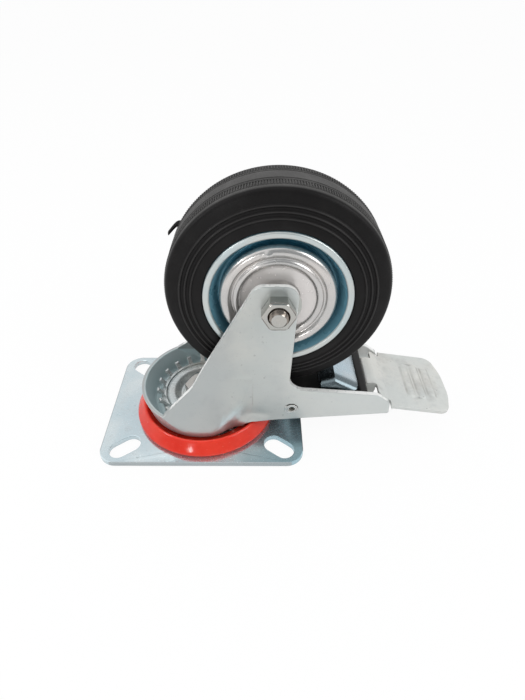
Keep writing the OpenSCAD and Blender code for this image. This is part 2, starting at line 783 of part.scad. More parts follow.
top_plate();
kingpin();
kingpin_nut();
lower_race_cap();
lock_crown();
dust_ring();
fork();
upper_balls();
lower_balls();
axle_bolt();
axle_nut();
axle_sleeve();
axle_washers();
pivot_pin();
tyre();
rim_pan_front();
rim_pan_rear();
hub_disc_front();
hub_disc_rear();
hub_tube();
roller_cage();
rollers();
brake_lever();
brake_leaf();
brake_pedal();
brake_rivets();
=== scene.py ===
# %% [markdown]
# # A swivel caster, dressed for its portrait
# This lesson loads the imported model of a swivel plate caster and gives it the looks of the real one.
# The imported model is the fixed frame: its nodes keep their places, and every new piece is built around
# them in metres, in the same axes. The caster lies on its mounting plate with the wheel up, so z runs
# from the plate to the wheel, x from the swivel axis to the pedal and y away from the viewer.

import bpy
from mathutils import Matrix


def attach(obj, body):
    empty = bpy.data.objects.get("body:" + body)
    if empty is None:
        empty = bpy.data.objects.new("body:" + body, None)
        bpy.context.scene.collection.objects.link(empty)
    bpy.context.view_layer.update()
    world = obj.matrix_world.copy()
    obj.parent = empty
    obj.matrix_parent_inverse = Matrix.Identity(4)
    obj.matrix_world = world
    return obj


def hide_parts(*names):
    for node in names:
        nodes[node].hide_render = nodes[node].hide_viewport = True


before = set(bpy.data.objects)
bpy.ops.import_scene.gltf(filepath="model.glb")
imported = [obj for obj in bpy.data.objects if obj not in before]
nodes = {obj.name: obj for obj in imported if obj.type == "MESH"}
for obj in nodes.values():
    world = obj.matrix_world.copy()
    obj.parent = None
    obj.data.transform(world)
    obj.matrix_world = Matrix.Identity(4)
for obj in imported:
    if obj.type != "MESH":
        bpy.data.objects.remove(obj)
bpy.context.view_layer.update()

# %% Tools and sizes
import math

import bmesh
import bpy
from mathutils import Matrix, Vector

MM = 0.001
AXLE = Vector((38.0, 0.0, 83.5)) * MM
SWIVEL = Vector((0.0, 0.0, 0.0))
scene = bpy.context.scene
scene.view_settings.view_transform = "Standard"
print("axle at", tuple(AXLE))

# %% [markdown]
# ## The camera
# A camera can be aimed by eye or worked out. Here it was worked out: known sizes of the plate, the rim
# circles and the axle nut were matched to where they fall in the picture, which leaves one place, one
# direction and one focal length. Yaw, pitch and roll turn the camera's own right, up and forward lines.

# %% Camera
CAMERA_PLACE = Vector((30.8, -183.21, 198.91)) * MM
YAW, PITCH, ROLL = (math.radians(angle) for angle in (0.16, 40.317, 0.248))
FOCAL_PIXELS, PICTURE_HEIGHT, SENSOR = 469.1, 700, 36.0
NEAREST = 0.005

right = Vector((math.cos(YAW), -math.sin(YAW), 0.0))
forward = Vector((math.sin(YAW) * math.cos(PITCH), math.cos(YAW) * math.cos(PITCH), -math.sin(PITCH)))
up = right.cross(forward)
right, up = (right * math.cos(ROLL) + up * math.sin(ROLL), up * math.cos(ROLL) - right * math.sin(ROLL))
bpy.ops.object.select_all(action="DESELECT")
bpy.ops.object.camera_add()
camera = bpy.context.object
camera.data.sensor_fit = "VERTICAL"
camera.data.sensor_height = SENSOR
camera.data.lens = FOCAL_PIXELS * SENSOR / PICTURE_HEIGHT
camera.data.clip_start = NEAREST
aim = Matrix((right, up, -forward)).transposed().to_4x4()
camera.matrix_world = Matrix.Translation(CAMERA_PLACE) @ aim
scene.camera = camera
print("lens", round(camera.data.lens, 2), "mm")

# %% [markdown]
# ## Shader maths in plain Python
# Node trees get long when every multiplication is placed by hand. A small class can stand for a socket
# and turn +, -, *, /, ** and abs into Math nodes, so a finish reads like a formula. Any other node comes
# from one method, add, which takes the node's type, its settings and what goes into its sockets.

# %% Sockets with operators
class Value:
    """A socket: arithmetic on it adds Math nodes to its tree."""

    def __init__(self, owner, socket):
        self.owner = owner
        self.socket = socket

    def math(self, operation, first, second=0.0):
        return self.owner.add("ShaderNodeMath", {"operation": operation}, {0: first, 1: second})

    def __add__(self, other):
        return self.math("ADD", self, other)

    def __sub__(self, other):
        return self.math("SUBTRACT", self, other)

    def __rsub__(self, other):
        return self.math("SUBTRACT", other, self)

    def __mul__(self, other):
        return self.math("MULTIPLY", self, other)

    def __truediv__(self, other):
        return self.math("DIVIDE", self, other)

    def __pow__(self, other):
        return self.math("POWER", self, other)

    def __abs__(self):
        return self.math("ABSOLUTE", self)

    def least(self, other):
        return self.math("MINIMUM", self, other)

    def most(self, other):
        return self.math("MAXIMUM", self, other)

    __radd__ = __add__
    __rmul__ = __mul__


def highest(values):
    """The largest of some values."""
    top = values[0]
    for value in values[1:]:
        top = top.most(value)
    return top


print("a socket can now be used in a formula")

# %% Node trees
class Nodes:
    """A node tree, the method that adds any node to it, and short names for two of them."""

    def __init__(self, tree):
        self.tree = tree

    def add(self, kind, settings=None, sockets=None, out=0):
        """A new node with its settings made and its sockets fed: the value of one output."""
        node = self.tree.nodes.new(kind)
        for key, value in (settings or {}).items():
            setattr(node, key, value)
        for key, value in (sockets or {}).items():
            self.feed(node.inputs[key], value)
        return Value(self, node.outputs[out])

    def feed(self, socket, value):
        if isinstance(value, Value):
            self.tree.links.new(value.socket, socket)
        elif socket.type == "RGBA":
            socket.default_value = (*value[:3], 1.0)
        else:
            socket.default_value = value

    def step(self, value, low, high):
        """0 at low, 1 at high, smooth between them."""
        sockets = {"Value": value, "From Min": low, "From Max": high}
        return self.add("ShaderNodeMapRange", {"interpolation_type": "SMOOTHSTEP"}, sockets)

    def mix(self, share, first, second):
        """A share of the second colour in the first."""
        return self.add("ShaderNodeMix", {"data_type": "RGBA"}, {0: share, 6: first, 7: second}, out=2)


print("any node comes from Nodes.add")

# %% Finishes
class Finish(Nodes):
    """A node material with one Principled shader and the patterns that feed it."""

    def __init__(self, name):
        self.slot = name
        self.material = bpy.data.materials.new(name)
        self.material.use_nodes = True
        super().__init__(self.material.node_tree)
        self.shader = self.tree.nodes["Principled BSDF"]
        self.place = self.add("ShaderNodeTexCoord", out="Object")

    def set(self, **inputs):
        """Feeds the shader: base_color, roughness and so on."""
        for key, value in inputs.items():
            self.feed(self.shader.inputs[key.replace("_", " ").title().replace("Ior", "IOR")], value)

    def noise(self, scale, detail=3.0, rough=0.55, stretch=None):
        at = self.place
        if stretch:
            at = self.add("ShaderNodeMapping", {}, {"Vector": at, "Scale": stretch})
        sockets = {"Vector": at, "Scale": scale, "Detail": detail, "Roughness": rough}
        return self.add("ShaderNodeTexNoise", {}, sockets)

    def fade(self, length, low, high):
        """The same as step, for a length in metres and limits in millimetres."""
        return self.step(length, low * MM, high * MM)

    def bump(self, height, depth, strength):
        sockets = {"Height": height, "Distance": depth, "Strength": strength}
        return self.add("ShaderNodeBump", {}, sockets)

    def axes(self):
        """The x, y and z of the place on the surface."""
        return [self.add("ShaderNodeSeparateXYZ", {}, {0: self.place}, out=i) for i in range(3)]

    def radius(self, centre, axis):
        """Distance from a line through centre, along the axis with that number."""
        parts = self.axes()
        a, b = [i for i in range(3) if i != axis]
        off_a = parts[a] - centre[a]
        off_b = parts[b] - centre[b]
        return (off_a * off_a + off_b * off_b) ** 0.5

    def show(self, *objects):
        """Makes this the only material of some objects."""
        for thing in objects:
            thing.data.materials.clear()
            thing.data.materials.append(self.material)


X, Y, Z = range(3)
print("a finish is a material with a Principled shader")

# %% [markdown]
# ## The studio
# The picture has a plain white ground and soft light from all round. A floor that simply reflects light
# comes out grey, and more lamps would bleach the metal, so the floor glows white only for rays that
# come from the camera or from a shiny surface, and keeps a trace of the shadow. The world is a pale
# room that is darker on the viewer's side, which is what the bright metal mirrors.

# %% Floor
FLOOR_SIZE, FLOOR_Z = 12.0, -0.0001
GLOW_SEEN, GLOW_MIRRORED = 0.94, 0.5

bpy.ops.mesh.primitive_plane_add(size=FLOOR_SIZE, location=(0.0, 0.0, FLOOR_Z))
floor = bpy.context.object
floor.name = "studio_floor"
floor_white = Finish("studio_white")
floor_white.set(base_color=(0.86, 0.86, 0.86), roughness=0.9)
seen, through, mirrored = [floor_white.add("ShaderNodeLightPath", out="Is " + ray + " Ray")
                           for ray in ("Camera", "Transmission", "Glossy")]
share = (seen.most(through) * GLOW_SEEN).most(mirrored * GLOW_MIRRORED)
glow = floor_white.add("ShaderNodeEmission", {}, {"Color": (1.0, 1.0, 1.0), "Strength": 1.0})
ground = Value(floor_white, floor_white.shader.outputs[0])
surface = floor_white.add("ShaderNodeMixShader", {}, {0: share, 1: ground, 2: glow})
floor_white.feed(floor_white.tree.nodes["Material Output"].inputs["Surface"], surface)
floor_white.show(floor)
print("floor", FLOOR_SIZE, "m wide")

# %% World
NEAR_WALL, FAR_WALL = (0.34, 0.36, 0.37), (0.88, 0.89, 0.90)
WALL_FROM, WALL_TO = -0.95, 0.1

world = bpy.data.worlds.new("studio_room")
scene.world = world
world.use_nodes = True
room = Nodes(world.node_tree)
direction = room.add("ShaderNodeTexCoord", out="Generated")
away = room.add("ShaderNodeSeparateXYZ", {}, {0: direction}, out=Y)
walls = room.mix(room.step(away, WALL_FROM, WALL_TO), NEAR_WALL, FAR_WALL)
backdrop = room.mix(room.add("ShaderNodeLightPath", out="Is Camera Ray"), walls, (1.0, 1.0, 1.0))
room.feed(world.node_tree.nodes["Background"].inputs["Color"], backdrop)
print("room with", len(world.node_tree.nodes), "nodes")

# %% Lamps
def softbox(name, place, target, size, watts):
    """A square soft lamp that looks at a target."""
    bpy.ops.object.light_add(type="AREA", location=place)
    lamp = bpy.context.object
    lamp.name = name
    lamp.data.size = size
    lamp.data.energy = watts
    lamp.rotation_euler = (Vector(target) - Vector(place)).to_track_quat("-Z", "Y").to_euler()
    print(name, watts, "W")


softbox("key_above", (-0.35, -0.15, 0.75), (0.03, 0.0, 0.05), 1.1, 2.1)
softbox("fill_right", (0.6, -0.35, 0.5), (0.05, 0.0, 0.05), 0.4, 1.8)
softbox("glint_left", (-0.46, -0.22, 0.36), (0.0, 0.0, 0.02), 0.06, 0.4)
softbox("glint_front", (-0.22, -0.60, 0.155), (0.0, -0.03, 0.005), 0.06, 0.32)

# %% [markdown]
# ## Zinc-plated sheet
# Fork, plate and pedal are pressed steel with a thin bright zinc coat. Up close it is never one grey:
# the coat has cool blue and warmer clouds, dull smudges from handling, fine scratches and dark specks.
# Each of these is a noise at its own size, and one function makes every zinc finish with its own mix.

# %% Zinc
def zinc(name, cool, warm, rough, smudge=0.12, scratch=0.5, grain=1.0, metal=1.0, speck=1.0):
    """A zinc coat between a cool and a warm tone, with more or less of each mark."""
    coat = Finish(name)
    clouds = coat.step(coat.noise(38.0), 0.35, 0.68)
    tone = coat.mix(clouds, cool, warm)
    handled = coat.step(coat.noise(150.0, 4.0, 0.62), 0.48, 0.75)
    tone = coat.mix(handled * 0.35, tone, (0.42, 0.45, 0.46))
    specks = coat.step(coat.noise(1500.0, 1.0, 0.4), 0.73, 0.79)
    pits = coat.step(coat.noise(420.0, 2.0, 0.5), 0.70, 0.78)
    tone = coat.mix((specks * 0.5).most(pits * 0.45) * speck, tone, (0.16, 0.16, 0.16))
    upright = coat.noise(60.0, 2.0, 0.5, stretch=(30.0, 30.0, 1.6))
    level = coat.noise(55.0, 2.0, 0.5, stretch=(1.4, 26.0, 30.0))
    drawn = coat.step(upright, 0.66, 0.72).most(coat.step(level, 0.67, 0.73))
    coat.tone = coat.mix(drawn * 0.16 * scratch, tone, (0.85, 0.86, 0.86))
    skin = coat.noise(2600.0, 2.0) * 0.5 + coat.noise(300.0, 2.0)
    coat.set(base_color=coat.tone, metallic=metal,
             roughness=rough + clouds * 0.05 + handled * smudge + drawn * 0.10,
             normal=coat.bump(skin - drawn * 0.6 - pits * 0.5, 0.00003 * grain, 0.55))
    return coat


plate_zinc = zinc("plate_zinc", (0.56, 0.66, 0.70), (0.70, 0.76, 0.77), 0.20,
                  smudge=0.08, grain=0.15, metal=0.8, speck=0.5)
fork_zinc = zinc("fork_zinc", (0.48, 0.505, 0.49), (0.545, 0.55, 0.52), 0.30, grain=0.6, metal=0.72)
pedal_zinc = zinc("pedal_zinc", (0.62, 0.64, 0.62), (0.70, 0.69, 0.65), 0.55,
                  smudge=0.1, scratch=1.0, metal=0.3)
lever_zinc = zinc("lever_zinc", (0.50, 0.60, 0.66), (0.70, 0.74, 0.76), 0.24, grain=0.5)
head_zinc = zinc("head_zinc", (0.56, 0.60, 0.60), (0.70, 0.68, 0.64), 0.24, grain=0.5, metal=0.55)
fastener_zinc = zinc("fastener_zinc", (0.43, 0.44, 0.415), (0.51, 0.47, 0.44), 0.15,
                     scratch=0.3, grain=0.5)
pin_steel = zinc("pin_steel", (0.60, 0.63, 0.63), (0.70, 0.69, 0.66), 0.22, scratch=0.2)

plate_zinc.show(nodes["top_plate"])
fork_zinc.show(nodes["fork"])
pedal_zinc.show(nodes["brake_pedal"])
lever_zinc.show(nodes["brake_lever"])
head_zinc.show(nodes["lower_race_cap"], nodes["lock_crown"])
fasteners = ("kingpin_nut", "axle_nut", "axle_bolt", "axle_washers", "brake_rivets")
fastener_zinc.show(*(nodes[name] for name in fasteners))
pin_steel.show(nodes["pivot_pin"])
print("zinc finishes made")

# %% [markdown]
# ## Marks on the zinc
# Each part has marks of its own: raw sheared edges and soil round the bolt, and painted light and shade: a
# darker, bluer end of the plate in the arm's shadow, painted highlights on the fork's cut edges, painted
# teal and light inside the cup and on the inner faces of the legs, a painted lit arm and shaded cup, and
# painted shade on the nut's lower brim, in the lever's folds and along the pedal's grooves. Such marks
# could be painted by hand. Here each is a mask made from the place on the part, because a mask needs no
# picture and follows the part's sizes.

# %% Marks on the plate
SHADED_BLUE = (8.0, 46.0)
SHEARED_X, SHEARED_Y = (51.9, 52.2), (39.4, 39.7)

x, y = plate_zinc.axes()[:2]
# Painted shade and reflection: the plate turns darker and bluer from x = 8 to 46 mm, towards the arm, over
# the coat's own blue tint.
tone = plate_zinc.mix(plate_zinc.fade(x, *SHADED_BLUE) * 0.8, plate_zinc.tone, (0.34, 0.53, 0.61))
edge_band = plate_zinc.fade(abs(y), *SHEARED_Y).most(plate_zinc.fade(abs(x), *SHEARED_X))
plate_zinc.set(base_color=plate_zinc.mix(edge_band * 0.85, tone, (0.37, 0.40, 0.41)))
print("plate tinted from x =", SHADED_BLUE[0], "mm")

# %% Soil and painted shade on the nut
THREAD_SOIL_IN, THREAD_SOIL_OUT, SOILED_SIDE = (3.1, 3.3), (4.7, 4.3), (0.0, -20.0)
NUT_BRIM, NUT_LOW, NUT_SIDE = (5.95, 6.2), (0.5, -1.0), (-20.0, -22.0)
NUT_FLATS = [math.radians(angle) for angle in (30.0, 90.0, 150.0)]

x, y, z = fastener_zinc.axes()
x = x - AXLE.x
z = z - AXLE.z
from_axle = fastener_zinc.radius(AXLE, Y)
soil_and_shade = fastener_zinc.fade(from_axle, *THREAD_SOIL_IN) * fastener_zinc.fade(from_axle, *THREAD_SOIL_OUT)
soil_and_shade = soil_and_shade * fastener_zinc.fade(y, *SOILED_SIDE)
tone = fastener_zinc.mix(soil_and_shade * 0.75, fastener_zinc.tone, (0.20, 0.155, 0.125))
# Painted shade: a dark line along the lower edges of the nut's front face, only below the axle and on the
# near side.
to_flat = highest([abs(x * math.cos(angle) + z * math.sin(angle)) for angle in NUT_FLATS])
shaded_brim = fastener_zinc.fade(to_flat, *NUT_BRIM) * fastener_zinc.fade(z, *NUT_LOW)
shaded_brim = shaded_brim * fastener_zinc.fade(y, *NUT_SIDE)
fastener_zinc.set(base_color=fastener_zinc.mix(shaded_brim * 0.8, tone, (0.17, 0.15, 0.135)))
print("soil round the bolt, from", THREAD_SOIL_IN[0], "to", THREAD_SOIL_OUT[0], "mm")

# %% Marks on the fork
CONE_SLOPE, WEDGE_SLOPE = 0.239, 0.357
CONE_WALL, WEDGE_WALL, CUP_FRONT, CUP_TOP = (27.0, 26.0), (34.7, 34.0), (14.0, 8.0), (23.4, 22.4)
LEG_INNER, LEG_FOOT, CUT_FOOT = (18.7, 18.2), (24.0, 27.0), (26.0, 28.0)
SHADED_CUP, LIT_ARM = (22.0, 6.0), (8.0, 82.0)
EDGE_ON = (0.45, 0.25)
FORK_METAL = 0.72

x, y, z = fork_zinc.axes()
cone = fork_zinc.radius(SWIVEL, Z) - z * CONE_SLOPE
wedge = abs(y) + z * WEDGE_SLOPE
inside = fork_zinc.fade(cone, *CONE_WALL) * fork_zinc.fade(wedge, *WEDGE_WALL)
inside = inside * fork_zinc.fade(x, *CUP_FRONT) * fork_zinc.fade(z, *CUP_TOP)
lit_between = fork_zinc.fade(abs(y), *LEG_INNER) * fork_zinc.fade(z, *LEG_FOOT)
smear = fork_zinc.step(fork_zinc.noise(46.0, 5.0, 0.62), 0.46, 0.72)
stain = fork_zinc.step(fork_zinc.noise(95.0, 5.0, 0.68), 0.56, 0.76)
# Painted highlight: faces turned edge-on, the cut edges of the legs and arms above the cup, are painted
# near white and less metallic, broken by dark flecks.
normal = fork_zinc.add("ShaderNodeTexCoord", out="Normal")
sideways = abs(fork_zinc.add("ShaderNodeSeparateXYZ", {}, {0: normal}, out=Y))
edge_band = fork_zinc.step(sideways, *EDGE_ON) * fork_zinc.fade(z, *CUT_FOOT)
flecks = fork_zinc.step(fork_zinc.noise(520.0, 2.0), 0.52, 0.66)
tone = fork_zinc.mix(smear * 0.34, fork_zinc.tone, (0.335, 0.355, 0.365))
tone = fork_zinc.mix(stain * 0.3, tone, (0.33, 0.315, 0.295))
# Painted shade on the cup, darker below x = 22 mm, and painted light on the arm, paler towards its end.
tone = fork_zinc.mix(fork_zinc.fade(x, *SHADED_CUP) * 0.45, tone, (0.385, 0.405, 0.415))
tone = fork_zinc.mix(fork_zinc.fade(x, *LIT_ARM) * 0.62, tone, (0.69, 0.72, 0.71))
tone = fork_zinc.mix(edge_band * (1.0 - flecks * 0.7), tone, (0.86, 0.86, 0.84))
# Inside the cup the coat's blue tint is deepened to teal as painted reflection, and made paler and less
# metallic as painted light in the recess.
tone = fork_zinc.mix(inside * 0.8, tone, (0.54, 0.66, 0.68))
# Painted light: the inner faces of the legs are paler and less metallic, so the hub covers mirror them
# bright.
tone = fork_zinc.mix(lit_between * 0.8, tone, (0.78, 0.78, 0.76))
metal = (FORK_METAL - inside * 0.45 - lit_between * 0.4).least(FORK_METAL - edge_band * 0.5)
fork_zinc.set(base_color=tone, metallic=metal)
print("fork finish has", len(fork_zinc.tree.nodes), "nodes")

# %% Marks on lever and pedal
FOLD_SHADE_SPAN = (9.5, 12.5)
GROOVES, GROOVE_HALF, GROOVE_SOFT, GROOVE_END = (109.5, 115.3, 121.0), 2.05, 0.75, (12.0, 9.5)

# Painted shade: the folds and sides of the lever, out past 9.5 mm from its middle, are dark where they sit
# in shadow under the tyre.
shaded_folds = lever_zinc.fade(abs(lever_zinc.axes()[Y]), *FOLD_SHADE_SPAN)
lever_zinc.set(base_color=lever_zinc.mix(shaded_folds * 0.85, lever_zinc.tone, (0.09, 0.115, 0.125)))
x, y = pedal_zinc.axes()[:2]
# Painted shade: dark lines along the flanks of the pedal's grooves, broken into patches like soil, give the
# ribs contrast that the soft light leaves out. The rubbed marks are handling wear.
lines = [(abs(x - middle * MM) - GROOVE_HALF * MM) / (GROOVE_SOFT * MM) for middle in GROOVES]
lines = [pedal_zinc.step(off * off, 1.0, 0.0) for off in lines]
patchy = 0.4 + pedal_zinc.step(pedal_zinc.noise(110.0), 0.35, 0.65) * 0.6
soil_and_shade = highest(lines) * pedal_zinc.fade(abs(y), *GROOVE_END) * patchy
rubbed = pedal_zinc.step(pedal_zinc.noise(70.0, 5.0, 0.65), 0.48, 0.72) * 0.34
wear_and_shade = rubbed.most(soil_and_shade * 0.6)
pedal_zinc.set(base_color=pedal_zinc.mix(wear_and_shade, pedal_zinc.tone, (0.28, 0.265, 0.245)))
print("soil along", 2 * len(GROOVES), "lines of the pedal")

# %% [markdown]
# ## Rim and hub cover
# The rim halves carry a blue tinted zinc coat, pale on the flat flange. The channel is painted deep teal:
# the blue tint darkened by painted shade and reflection. The hub cover is bright, with faint turning rings;
# its skirt down in the channel gets the same painted teal shade, and its dish is painted paler as painted
# light. The tint follows how far out a place lies along the axle, and the rings follow the distance from
# it, so the finishes measure both.

# %% Rim
FLANGE = (14.7, 15.3)

rim_zinc = Finish("rim_zinc")
clouds = rim_zinc.step(rim_zinc.noise(60.0), 0.35, 0.7)
flange = rim_zinc.mix(clouds, (0.52, 0.59, 0.60), (0.60, 0.62, 0.60))
# Painted shade and reflection: the channel's blue tint is painted deep, dark teal.
channel = rim_zinc.mix(clouds, (0.125, 0.290, 0.370), (0.150, 0.335, 0.420))
on_flange = rim_zinc.fade(abs(rim_zinc.axes()[Y]), *FLANGE)
tone = rim_zinc.mix(on_flange, channel, flange)
marks = rim_zinc.step(rim_zinc.noise(700.0, 2.0), 0.66, 0.74)
tone = rim_zinc.mix(marks * (0.06 + on_flange * 0.25), tone, (0.25, 0.28, 0.29))
rim_zinc.set(base_color=tone, metallic=0.2 + on_flange * 0.8,
             roughness=0.24 + clouds * 0.06 + on_flange * 0.12,
             normal=rim_zinc.bump(rim_zinc.noise(1800.0, 2.0), 0.00003, 0.4))
rim_zinc.show(nodes["rim_pan_front"], nodes["rim_pan_rear"])
print("rim flange beyond", FLANGE[0], "mm")

# %% Hub cover finish
SKIRT_DEEP, SKIRT_OUT, DISH = (12.3, 11.7), (25.2, 25.6), (17.0, 16.3)

disc_bright = Finish("disc_bright")
from_axle = disc_bright.radius(AXLE, Y)
depth = abs(disc_bright.axes()[Y])
rings = disc_bright.add("ShaderNodeTexNoise", {"noise_dimensions": "1D"},
                        {"W": from_axle, "Scale": 2600.0, "Detail": 2.0})
clouds = disc_bright.step(disc_bright.noise(55.0), 0.35, 0.7)
spots = disc_bright.step(disc_bright.noise(500.0), 0.64, 0.74)
skirt = disc_bright.fade(depth, *SKIRT_DEEP) * disc_bright.fade(from_axle, *SKIRT_OUT)
dish = disc_bright.fade(from_axle, *DISH)
tone = disc_bright.mix(clouds, (0.54, 0.53, 0.52), (0.64, 0.605, 0.58))
tone = disc_bright.mix(spots * 0.4, tone, (0.36, 0.35, 0.34))
# Painted shade and reflection: the skirt down in the rim channel is painted the channel's deep teal.
tone = disc_bright.mix(skirt, tone, (0.07, 0.24, 0.31))
# Painted light: the dish is paler and less metallic, where it would otherwise mirror the dark leg and
# front.
tone = disc_bright.mix(dish * 0.8, tone, (0.74, 0.70, 0.68))
waves = rings * 0.4 + disc_bright.noise(120.0, 2.0) * 3.0
disc_bright.set(base_color=tone, metallic=0.85 - dish * 0.45,
                roughness=0.19 + rings * 0.06 + clouds * 0.05 + spots * 0.1,
                normal=disc_bright.bump(waves, 0.00004, 0.35))
disc_bright.show(nodes["hub_disc_front"], nodes["hub_disc_rear"])
print("dish of the hub cover within", DISH[0], "mm")

# %% [markdown]
# ## Rubber, red plastic and the rest
# The tyre is black rubber with a dull sidewall and a dusty grey tread, so the finish looks at the
# distance from the axle once more; the crests of the side ridges get a painted highlight. The dust ring is
# glossy moulded plastic with rub marks. Bare steel, black spring steel and nylon fill the places inside.

# %% Rubber
TREAD_FROM, TREAD_TO = (49.05, 49.6), (50.3, 50.1)
RIDGES, CREST_HALF = (38.0, 40.5, 42.9), 0.32

tyre_rubber = Finish("tyre_rubber")
from_axle = tyre_rubber.radius(AXLE, Y)
tread = tyre_rubber.fade(from_axle, *TREAD_FROM) * tyre_rubber.fade(from_axle, *TREAD_TO)
crests = [(from_axle - middle * MM) / (CREST_HALF * MM) for middle in RIDGES]
crests_highlight = highest([tyre_rubber.step(off * off, 1.0, 0.2) for off in crests])
dust = tyre_rubber.step(tyre_rubber.noise(90.0, 4.0, 0.6), 0.4, 0.75)
chalk = tyre_rubber.step(tyre_rubber.noise(260.0, 4.0, 0.65), 0.62, 0.78)
tone = tyre_rubber.mix(dust * 0.6, (0.0070, 0.0063, 0.0063), (0.0125, 0.0115, 0.0115))
tone = tyre_rubber.mix(chalk * 0.2, tone, (0.05, 0.047, 0.045))
# Painted highlight: the crests of the side ridges are painted lighter. Their lower roughness is real gloss.
tone = tyre_rubber.mix(crests_highlight * 0.5, tone, (0.046, 0.044, 0.043))
tone = tyre_rubber.mix(tread * (0.75 + dust * 0.25), tone, (0.105, 0.102, 0.100))
tyre_rubber.set(base_color=tone, specular_ior_level=0.14,
                roughness=0.42 + tread * 0.30 + chalk * 0.15 - crests_highlight * 0.16,
                normal=tyre_rubber.bump(tyre_rubber.noise(1500.0) + dust, 0.00006, 0.5))
print("dusty tread beyond", TREAD_FROM[0], "mm")

# %% Red plastic
ring_red = Finish("ring_red")
clouds = ring_red.step(ring_red.noise(70.0), 0.35, 0.7)
rub = ring_red.step(ring_red.noise(90.0, 3.0, 0.6, stretch=(6.0, 6.0, 20.0)), 0.62, 0.72)
tone = ring_red.mix(clouds, (0.76, 0.032, 0.015), (0.86, 0.052, 0.026))
tone = ring_red.mix(rub * 0.18, tone, (0.88, 0.22, 0.17))
skin = ring_red.noise(240.0) + ring_red.noise(1800.0, 2.0) * 0.2
ring_red.set(base_color=tone, roughness=0.12 + clouds * 0.05 + rub * 0.2, specular_ior_level=0.4,
             subsurface_weight=0.7, subsurface_scale=0.007, subsurface_radius=(1.0, 0.12, 0.08),
             normal=ring_red.bump(skin, 0.00009, 0.5))
print("red plastic made")

# %% Bare steel, black steel and nylon
bearing_steel = Finish("bearing_steel")
oil = bearing_steel.step(bearing_steel.noise(220.0), 0.4, 0.7)
bearing_steel.set(base_color=bearing_steel.mix(oil, (0.60, 0.60, 0.60), (0.40, 0.37, 0.33)),
                  metallic=1.0, roughness=0.16 + oil * 0.16,
                  normal=bearing_steel.bump(bearing_steel.noise(1600.0), 0.00002, 0.4))
inner_steel = ("kingpin", "upper_balls", "lower_balls", "axle_sleeve", "hub_tube", "rollers")
bearing_steel.show(*(nodes[name] for name in inner_steel))

leaf_black = Finish("leaf_black")
wear_and_shade = leaf_black.step(leaf_black.noise(130.0, 4.0, 0.62), 0.5, 0.78)
leaf_black.set(base_color=leaf_black.mix(wear_and_shade, (0.010, 0.0092, 0.009), (0.030, 0.027, 0.026)),
               specular_ior_level=0.3, roughness=0.42 + wear_and_shade * 0.2,
               normal=leaf_black.bump(leaf_black.noise(1400.0), 0.00005, 0.5))
leaf_black.show(nodes["brake_leaf"])

cage_nylon = Finish("cage_nylon")
milky = cage_nylon.step(cage_nylon.noise(140.0), 0.35, 0.7)
cage_nylon.set(base_color=cage_nylon.mix(milky, (0.74, 0.71, 0.62), (0.82, 0.80, 0.72)),
               roughness=0.42 + milky * 0.1,
               normal=cage_nylon.bump(cage_nylon.noise(1200.0), 0.00004, 0.4))
cage_nylon.show(nodes["roller_cage"])
print("finishes:", len(bpy.data.materials))

# %% [markdown]
# ## Working on a mesh from code
# By hand, modelling is: pick an object, enter edit mode, select something, use a tool. In code it is the
# same, with two habits. Everything else is deselected first, because a tool acts on all that is selected,
# and the selection is made by a test of place or direction. These few helpers keep those habits.

# %% Helpers for edit mode
WELD = 0.002 * MM


def only(piece):
    """Leaves one object selected and active."""
    bpy.ops.object.select_all(action="DESELECT")
    piece.select_set(True)
    bpy.context.view_layer.objects.active = piece


def enter(piece):
    """Edit mode on one object with everything in it selected."""
    only(piece)
    bpy.ops.object.mode_set(mode="EDIT")
    bpy.ops.mesh.select_mode(type="VERT")
    bpy.ops.mesh.select_all(action="SELECT")


def leave():
    bpy.ops.object.mode_set(mode="OBJECT")


def weld():
    """Merges doubles and turns all faces outwards, in edit mode."""
    bpy.ops.mesh.select_all(action="SELECT")
    bpy.ops.mesh.remove_doubles(threshold=WELD)
    bpy.ops.mesh.normals_make_consistent(inside=False)


def start_point(name, place):
    """A new object with one point, left in edit mode, for an outline that is extruded from it."""
    bpy.ops.object.select_all(action="DESELECT")
    bpy.ops.mesh.primitive_plane_add(size=MM, location=place)
    piece = bpy.context.object
    piece.name = name
    only(piece)
    bpy.ops.object.transform_apply(location=True)
    enter(piece)
    bpy.ops.mesh.merge(type="CENTER")
    return piece


def dress(piece, finish, body, *replaced, crease=35.0):
    only(piece)
    bpy.ops.object.transform_apply(location=True, rotation=True, scale=True)
    bpy.ops.object.shade_smooth_by_angle(angle=math.radians(crease))
    finish.show(piece)
    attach(piece, body)
    if replaced:
        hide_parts(*replaced)
    print(piece.name, "faces:", len(piece.data.polygons))


print("doubles closer than", WELD / MM, "mm are merged")

# %% [markdown]
# ## The tyre
# The tyre is moulded rubber with sides that lean in towards the tread, three fine ridges on each side, a
# round shoulder and grooves. Its outline is the same all the way round, so it could be a curve with a
# Screw modifier. Here it is drawn as on a lathe: one point is extruded along the outline, and the closed
# line is spun round the axle.

# %% Lathe
ALONG_Y, ALONG_Z = Vector((0.0, 1.0, 0.0)), Vector((0.0, 0.0, 1.0))


def turned(name, outline, steps=240, centre=AXLE, axis=ALONG_Y):
    """A ring round a line from an outline of (radius, distance along the line) in mm."""
    out = Vector((axis.z, 0.0, axis.y))
    places = [(out * radius + axis * along) * MM for radius, along in outline]
    piece = start_point(name, centre + places[0])
    for place, following in zip(places, places[1:] + places[:1]):
        bpy.ops.mesh.extrude_vertices_move(TRANSFORM_OT_translate={"value": following - place})
    weld()
    bpy.ops.mesh.spin(steps=steps, angle=2.0 * math.pi, center=centre, axis=axis)
    weld()
    leave()
    return piece


print("the lathe turns an outline round a line")

